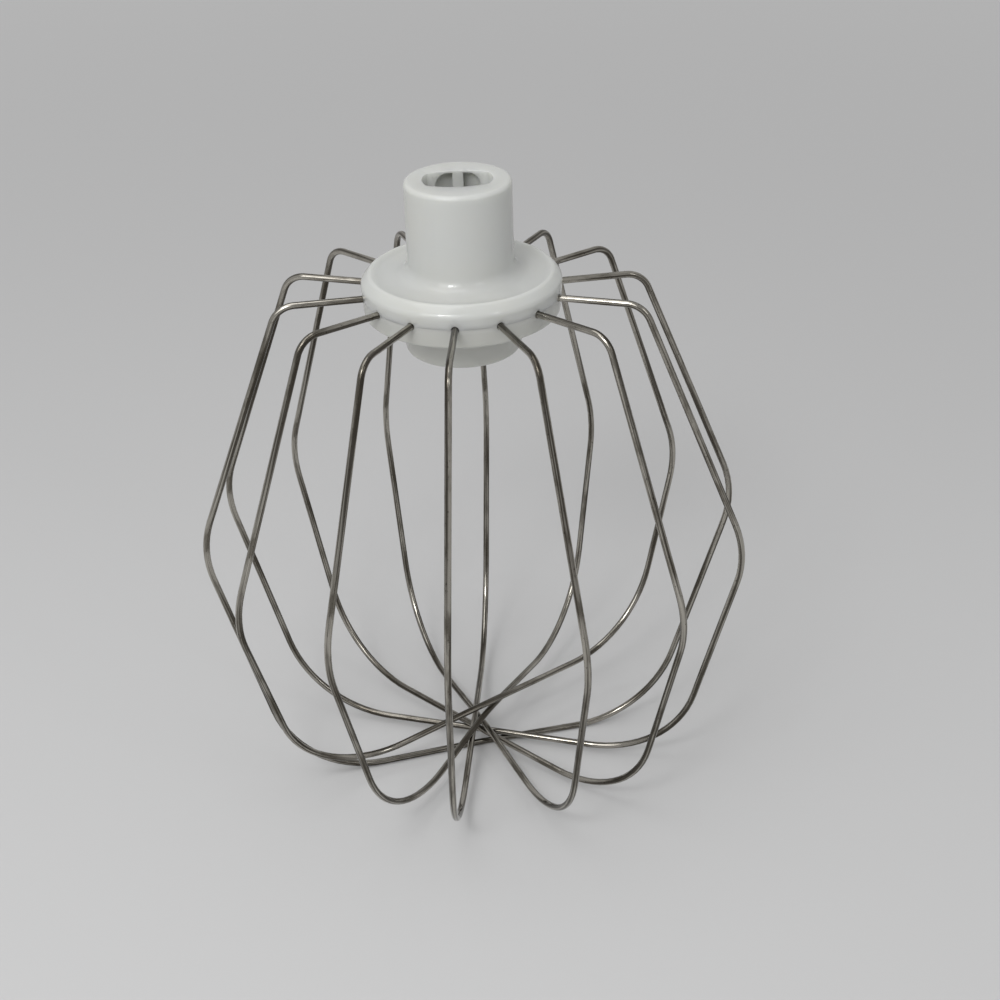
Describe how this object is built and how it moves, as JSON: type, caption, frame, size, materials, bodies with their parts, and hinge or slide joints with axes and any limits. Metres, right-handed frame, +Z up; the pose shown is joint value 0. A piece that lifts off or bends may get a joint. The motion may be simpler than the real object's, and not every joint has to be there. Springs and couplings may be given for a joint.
{
  "type": "food processor whisk",
  "caption": "Balloon whisk attachment for a food processor: bent steel wire loops clamped in a white plastic hub with a drive socket in its neck.",
  "frame": {"origin": "on the hub's axis, at the level of the bench that the crossing wires stand on", "axes": "+Z up the hub's axis towards the socket's mouth; X along the socket's long way, Y across its curved flats"},
  "size_m": [0.1222, 0.1227, 0.1456],
  "materials": {
    "hub_plastic": "satin white moulding",
    "wire_steel": "drawn stainless wire, slightly dulled"
  },
  "bodies": {
    "root": {"hub_body": "hub_plastic", "clamp_cap": "hub_plastic", "wire_loop_1": "wire_steel", "wire_loop_2": "wire_steel", "wire_loop_3": "wire_steel", "wire_loop_4": "wire_steel", "wire_loop_5": "wire_steel", "wire_loop_6": "wire_steel", "wire_loop_7": "wire_steel"}
  },
  "joints": []
}
